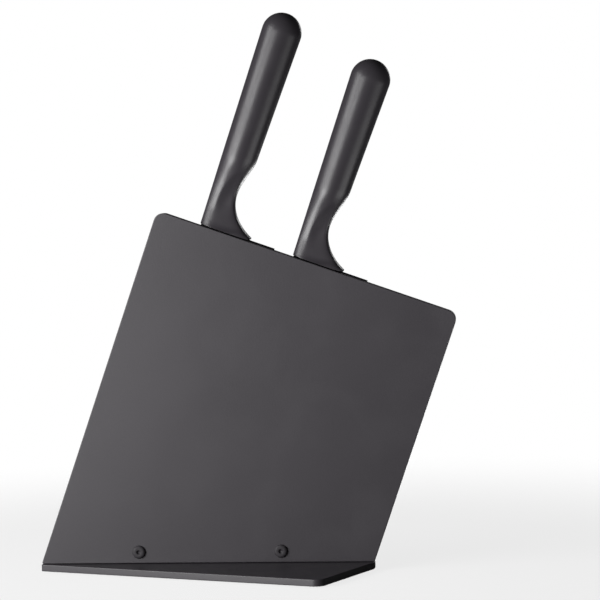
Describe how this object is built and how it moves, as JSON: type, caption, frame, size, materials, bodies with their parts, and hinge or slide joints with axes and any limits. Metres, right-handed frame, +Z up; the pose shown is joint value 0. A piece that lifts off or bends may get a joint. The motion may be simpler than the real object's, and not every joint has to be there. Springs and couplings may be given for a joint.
{
  "type": "magnetic knife stand",
  "caption": "Thin upright magnetic board, leaning sideways on the diagonal of a small steel base plate, with black-handled knives held on its back.",
  "frame": {"origin": "middle of the whole part's outline on the plan, on the surface that it stands on", "axes": "+Z up; +X along the base plate's long side, towards the side that the board leans to; -Y towards the front"},
  "size_m": [0.2408, 0.0936, 0.333],
  "materials": {
    "coated_steel": "satin charcoal powder coat",
    "black_steel": "matt black coat",
    "screw_steel": "black oxide",
    "board_plastic": "fine matt texture",
    "handle_plastic": "fine satin texture",
    "blade_steel": "black non-stick coat on steel",
    "magnet_plating": "nickel plated",
    "foam_tape": "foam, matt",
    "pad_rubber": "matt"
  },
  "bodies": {
    "stand": {"base_plate": "coated_steel", "foot_pad_1": "pad_rubber", "foot_pad_2": "pad_rubber", "foot_pad_3": "pad_rubber", "foot_pad_4": "pad_rubber", "foot_bracket": "black_steel", "base_screw_1": "screw_steel", "base_screw_2": "screw_steel", "base_screw_3": "screw_steel", "front_panel": "coated_steel", "front_screw_left": "screw_steel", "front_screw_right": "screw_steel", "magnet_board": "board_plastic", "magnet_1_1": "magnet_plating", "magnet_1_2": "magnet_plating", "magnet_1_3": "magnet_plating", "magnet_2_1": "magnet_plating", "magnet_2_2": "magnet_plating", "magnet_2_3": "magnet_plating", "magnet_3_1": "magnet_plating", "magnet_3_2": "magnet_plating", "magnet_3_3": "magnet_plating", "bond_tape_top": "foam_tape", "bond_tape_upper": "foam_tape", "bond_tape_lower": "foam_tape", "bond_tape_foot": "foam_tape"},
    "cook_knife": {"cook_blade": "blade_steel", "cook_handle": "handle_plastic"},
    "vegetable_knife": {"vegetable_blade": "blade_steel", "vegetable_handle": "handle_plastic"}
  },
  "joints": [
    {"name": "cook_knife_lift", "type": "slide", "parent": "stand", "child": "cook_knife", "axis": [0.3209, 0.1182, 0.9397], "range_m": [0, 0.215]},
    {"name": "vegetable_knife_lift", "type": "slide", "parent": "stand", "child": "vegetable_knife", "axis": [0.3209, 0.1182, 0.9397], "range_m": [0, 0.18]}
  ]
}
